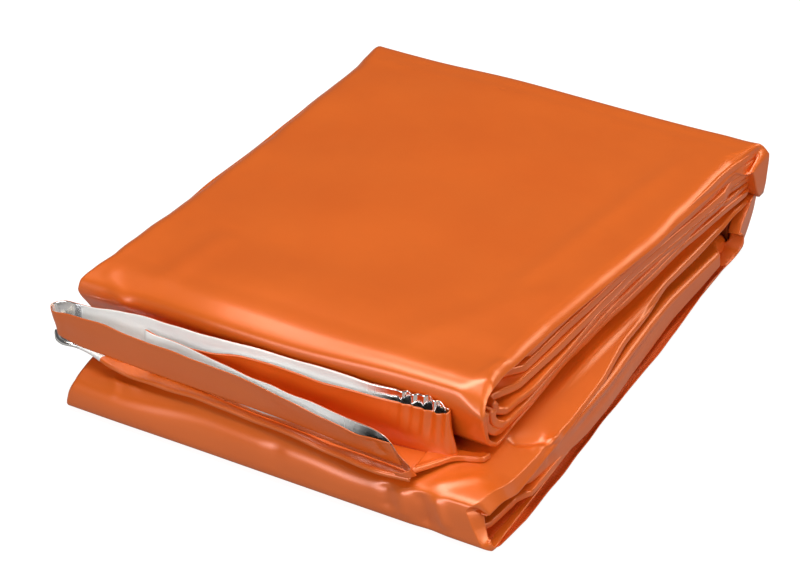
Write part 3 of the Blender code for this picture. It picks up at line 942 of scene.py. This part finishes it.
def rear_and_front_ribbon():
    """The mouth's rear wall, its round turn at the left and its front wall, all one strip."""
    grid, share = ribbon(REAR_AND_FRONT_TOP, REAR_AND_FRONT_ROOT)
    share = share[..., 0]
    rear = smooth_step(grid[..., 1], -72 * MM, -70.5 * MM)
    front = 1 - rear
    gathered = crinkles(grid, 32, 25) * rear
    normal = normals_of(grid)
    height = 0.5 * gathered * smooth_step(share, 0.1, 0.7)
    height = height + 0.35 * Swell(81, 24 * MM)(grid) * smooth_step(share, 0.2, 1.0)
    height = height - 0.5 * line_ridge(grid, (29, -80, 22), (31, -78, 17), 1.6, 1.0) / MM * front
    grid = grid + normal * height[..., None] * MM
    top = smooth_step(share, 0.75, 1.0)
    grid[..., 2] += (0.25 * Swell(83, 14 * MM)(grid) * top + 0.12 * gathered * top) * MM
    return grid


def gusset_ribbon():
    """The gusset between them, from the curl under the front wall to the slit's tip and back."""
    grid, share = ribbon(GUSSET_TOP, GUSSET_ROOT)
    rear = smooth_step(grid[..., 1], -72.9 * MM, -71.5 * MM)
    gathered = crinkles(grid, 36, 22) * rear
    normal = normals_of(grid)
    height = 0.3 * gathered + 0.3 * Swell(85, 22 * MM)(grid)
    grid = grid + normal * (height * smooth_step(share[..., 0], 0.1, 0.9))[..., None] * MM
    grid[..., 2] += 0.2 * Swell(87, 12 * MM)(grid) * smooth_step(share[..., 0], 0.75, 1.0) * MM
    return grid


# The under layer and the tongue, in mm: their heights, and their front and back lines as (x, y).
UNDER_HEIGHT = 13.7
UNDER_LIFT_AT = (0, 0.35, 0.6, 0.8, 1)
UNDER_LIFT = (0, 0.1, 0.4, -0.1, 0)
UNDER_CURL = 1.6
UNDER_HANG = 0.8
UNDER_SPACING = 0.5
UNDER_WAVES = (91, 16, (0, 0, 0.35))
TONGUE_HEIGHT = 13.95
TONGUE_SPACING = 0.45
TONGUE_WAVES = (95, 14, (0, 0, 0.18))
UNDER_FRONT = [
    (-65.6, -70.5), (-63.2, -73.2), (-60.4, -74.6), (-56, -74.4), (-51, -74.5), (-47.4, -75.4),
    (-37, -76.2), (-19, -76.8), (-4, -77.5), (9.6, -78.5), (20, -79.2), (27, -80.2), (31, -80.6),
    (38.4, -79),
]
UNDER_BACK = [
    (-62.5, -65.5), (-60.5, -65), (-58, -64.6), (-54, -64.4), (-50, -64.4), (-46, -64.4), (-37, -64.4),
    (-19, -64.4), (-4, -64.4), (9.6, -64.4), (20, -64.4), (26, -64.4), (30, -64.4), (38.2, -64.4),
]


def flap(front, back, spacing, share):
    """Grid of a flap from its back line to its front one, with no height yet, and positions along it."""
    knots = chord_knots(np.array(front))
    at = np.linspace(0, knots[-1], int(knots[-1] / spacing) + 1)
    front = spline(knots, front, at)
    back = spline(knots, back, at)
    grid = np.empty((len(share), len(at), 3))
    grid[..., :2] = back + (front - back) * share[..., None]
    return grid, at / knots[-1]


def under_layer():
    """The mouth's lowest layer, whose front edge hangs over the ledge."""
    share = np.linspace(0, 1, 40)[:, None] ** 0.8
    grid, along = flap(UNDER_FRONT, UNDER_BACK, UNDER_SPACING, share)
    lift = spline(UNDER_LIFT_AT, UNDER_LIFT, along)
    curl = UNDER_CURL * smooth_step(-grid[..., 0], 45, 60) * smooth_step(share, 0.7, 1.0)
    hang = UNDER_HANG * smooth_step(share, 0.965, 1.0) ** 2
    grid[..., 2] = UNDER_HEIGHT + lift * share + curl - hang
    grid = grid * MM
    return grid + wander(grid, *UNDER_WAVES) * smooth_step(share, 0.55, 1.0)[..., None]


TONGUE_FRONT = [
    (37.9, -77.6), (39.4, -74.6), (41.6, -71), (43.6, -68), (45.4, -66.6), (47.6, -65.6), (49.6, -64.4),
    (50.2, -62.2),
]
TONGUE_BACK = [
    (37, -66), (38.6, -65.8), (40.4, -65.4), (42.2, -64.8), (43.8, -64.2), (45.6, -63.6), (47.4, -62.8),
    (48.6, -61.8),
]


def tongue():
    """A flap of film on the ledge between the mouth's right end and the upper half's front fold."""
    share = np.linspace(0, 1, 30)[:, None]
    grid, _ = flap(TONGUE_FRONT, TONGUE_BACK, TONGUE_SPACING, share)
    grid[..., 2] = TONGUE_HEIGHT + 0.35 * bump(share, 0.85, 0.12) - 0.8 * smooth_step(share, 0.9, 1.0)
    grid = grid * MM
    return grid + wander(grid, *TONGUE_WAVES)


# ---- Every film strip, placed in the frame ----

# A folded panel of the bag is two layers, orange on both of its sides. Only the mouth shows the inside.
DOUBLE = (ORANGE, ORANGE)
SINGLE = (ORANGE, SILVER)
WELD = (SEAM, SEAM)

# Where a strip goes over from one body to the other: (body, other body, start, end of the change).
SPINE_BEND = ("lower_half", "upper_half", (0, 80 * MM, 13 * MM), (0, 80 * MM, 19 * MM))
SLIT_BEND = ("lower_half", "mouth_gusset", (0, -72.85 * MM, 20 * MM), (0, -74.3 * MM, 20 * MM))
LEFT_TURN_BEND = ("lower_half", "mouth_front", (0, -71.8 * MM, 20 * MM), (0, -75.4 * MM, 20 * MM))
UNDER_SINGLE_LEFT_OF = -49 * MM


def double_right_of(obj, x):
    """Leaves a single film's inner face silver only left of x: right of it the film lies double.

    Its cut edge is silver right of x and orange left of it.
    """
    for material in (ORANGE, ORANGE, SILVER):
        obj.data.materials.append(material)
    obj.modifiers["Film"].material_offset_rim = 2
    for face in obj.data.polygons:
        if face.center.x > x:
            face.material_index = 2


def place(name, grid, nodes, slot, body=None, bend=None, materials=DOUBLE, narrow=False, trims=()):
    """A film object made from the grid, attached to its body or else baked in place, with the CAD nodes it
    replaces hidden.
    """
    obj = film_object(name, grid, *materials)
    if body:
        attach(obj, body)
    else:
        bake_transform(obj)
    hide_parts(*nodes)
    return obj


place("upper_outer_film", upper_shell(), ("upper_cover", "spine_upper"), ORANGE_SLOT, "upper_half")
crease = place("spine_crease_film", spine_crease(), (), ORANGE_SLOT, bend=SPINE_BEND, narrow=True)
cover_nodes = ("lower_cover", "spine_lower")
place("lower_outer_film", lower_shell(), cover_nodes, ORANGE_SLOT, "lower_half", trims=[crease])
for index, pleat in enumerate(UPPER_PLEATS):
    grid = upper_pleat(pleat, FIRST_PLEAT_SEED + 3 * index)
    place(pleat["name"], grid, pleat["nodes"], ORANGE_SLOT, "upper_half")
side_nodes = ("lower_pleat_3", "lower_pleat_4")
place("lower_side_panel", lower_side_panel(), side_nodes, ORANGE_SLOT, "lower_half")
inner_nodes = ("lower_pleat_1", "lower_pleat_2")
place("lower_inner_panel", lower_inner_panel(), inner_nodes, ORANGE_SLOT, "lower_half")
foot_strip = ("foot_seam_film", foot_seam(), ("foot_seam",), SEAM_SLOT, "lower_half")
foot = place(*foot_strip, materials=WELD, narrow=True)
side_strip = ("side_seam_film", side_seam(), ("side_seam",), SEAM_SLOT, "lower_half")
place(*side_strip, materials=WELD, trims=[foot])
gusset_nodes = ("mouth_gusset_rear", "mouth_gusset_front")
gusset_strip = ("mouth_gusset_ribbon", gusset_ribbon(), gusset_nodes, SILVER_SLOT)
gusset = place(*gusset_strip, bend=SLIT_BEND, narrow=True, materials=SINGLE)
wall_nodes = ("mouth_rear_wall", "mouth_front_wall", "mouth_left_turn")
wall_strip = ("mouth_outer_ribbon", rear_and_front_ribbon(), wall_nodes, ORANGE_SLOT)
place(*wall_strip, bend=LEFT_TURN_BEND, trims=[gusset], materials=SINGLE)
tongue_strip = ("mouth_tongue_film", tongue(), ("mouth_tongue",), ORANGE_SLOT, "lower_half")
tongue_film = place(*tongue_strip, narrow=True)
under_strip = ("mouth_under_film", under_layer(), ("mouth_under_layer",), ORANGE_SLOT, "lower_half")
under_film = place(*under_strip, materials=SINGLE, trims=[tongue_film])
double_right_of(under_film, UNDER_SINGLE_LEFT_OF)

# ---- Stage, lights and camera ----

# The floor looks white, but lights the film much less than a white floor would.
FLOOR_GLOW = 0.10
FLOOR_WHITE = 0.92
FLOOR_HALF_SIDE = 3.0
FLOOR_DROP = 0.2 * MM
WHITE = (1.0, 1.0, 1.0, 1.0)
FLOOR_FINISH = {
    "Base Color": (0.25, 0.25, 0.25, 1.0),
    "Roughness": 0.8,
    "Specular IOR Level": 0.1,
    "Emission Color": WHITE,
}
WORLD_STRENGTH = 0.09


def stage():
    """White floor and a dim white world."""
    floor_material = bpy.data.materials.new("floor")
    n = Nodes(floor_material)
    shader = n.add("ShaderNodeBsdfPrincipled", FLOOR_FINISH)
    seen = n.add("ShaderNodeLightPath").outputs["Is Camera Ray"]
    n.link(n.ramp(seen, 0.0, 1.0, FLOOR_GLOW, FLOOR_WHITE), shader.inputs["Emission Strength"])
    n.finish(shader)
    mesh = bpy.data.meshes.new("floor")
    side = FLOOR_HALF_SIDE
    corners = [(-side, -side, 0), (side, -side, 0), (side, side, 0), (-side, side, 0)]
    mesh.from_pydata(corners, [], [(0, 1, 2, 3)])
    mesh.materials.append(floor_material)
    floor = bpy.data.objects.new("floor", mesh)
    bpy.context.scene.collection.objects.link(floor)
    floor.location = (0, 0, -FLOOR_DROP)
    world = bpy.data.worlds.new("studio")
    bpy.context.scene.world = world
    world.use_nodes = True
    background = world.node_tree.nodes["Background"]
    background.inputs["Color"].default_value = WHITE
    background.inputs["Strength"].default_value = WORLD_STRENGTH


def area_light(name, location, target, size, power, colour):
    """A rectangular soft box that faces its target."""
    light = bpy.data.lights.new(name, "AREA")
    light.shape = "RECTANGLE"
    light.size, light.size_y = size
    light.energy = power
    light.color = colour
    obj = bpy.data.objects.new(name, light)
    obj.location = location
    aim = Vector(target) - Vector(location)
    obj.rotation_euler = aim.to_track_quat("-Z", "Y").to_euler()
    bpy.context.scene.collection.objects.link(obj)


NEUTRAL = (1, 1, 1)
WARM_WHITE = (1.0, 0.97, 0.90)
WARM = (1.0, 0.86, 0.62)
FOOT = (0, 0, 0)
MIDDLE = (0, 0, 0.02)

# Soft boxes: (name, place, aim, width and height, watts, colour).
SOFT_BOXES = (
    ("overhead_box", (-0.05, -0.02, 0.85), FOOT, (0.6, 0.55), 6.6, WARM_WHITE),
    ("front_box", (0.0, -0.9, 0.34), MIDDLE, (0.8, 0.3), 3.8, NEUTRAL),
    ("right_box", (0.85, -0.05, 0.50), MIDDLE, (0.4, 0.4), 3.0, WARM),
    ("back_right_box", (0.42, 0.72, 0.42), MIDDLE, (0.34, 0.26), 1.1, WARM),
)

VIEW_AZIMUTH = np.radians(28.6)
VIEW_ELEVATION = np.radians(31.7)
VIEW_ROLL = np.radians(1.0)
VIEW_DISTANCE = 0.621
VIEW_TARGET = np.array([0.0023, -0.0188, 0.01955])
VIEW_LENS = 112.5


def camera():
    """The camera that takes the main view."""
    back = np.array([
        np.sin(VIEW_AZIMUTH) * np.cos(VIEW_ELEVATION),
        -np.cos(VIEW_AZIMUTH) * np.cos(VIEW_ELEVATION),
        np.sin(VIEW_ELEVATION),
    ])
    level = np.array([np.cos(VIEW_AZIMUTH), np.sin(VIEW_AZIMUTH), 0.0])
    raised = np.cross(back, level)
    right = level * np.cos(VIEW_ROLL) + raised * np.sin(VIEW_ROLL)
    up = raised * np.cos(VIEW_ROLL) - level * np.sin(VIEW_ROLL)
    data = bpy.data.cameras.new("camera")
    data.lens = VIEW_LENS
    data.sensor_width = 36.0
    data.clip_start = 0.01
    obj = bpy.data.objects.new("camera", data)
    bpy.context.scene.collection.objects.link(obj)
    turn = Matrix(np.stack([right, up, back], axis=1).tolist()).to_4x4()
    obj.matrix_world = Matrix.Translation(Vector(VIEW_TARGET + back * VIEW_DISTANCE)) @ turn
    bpy.context.scene.camera = obj


stage()
for box in SOFT_BOXES:
    area_light(*box)
camera()
bpy.context.scene.view_settings.view_transform = "Standard"
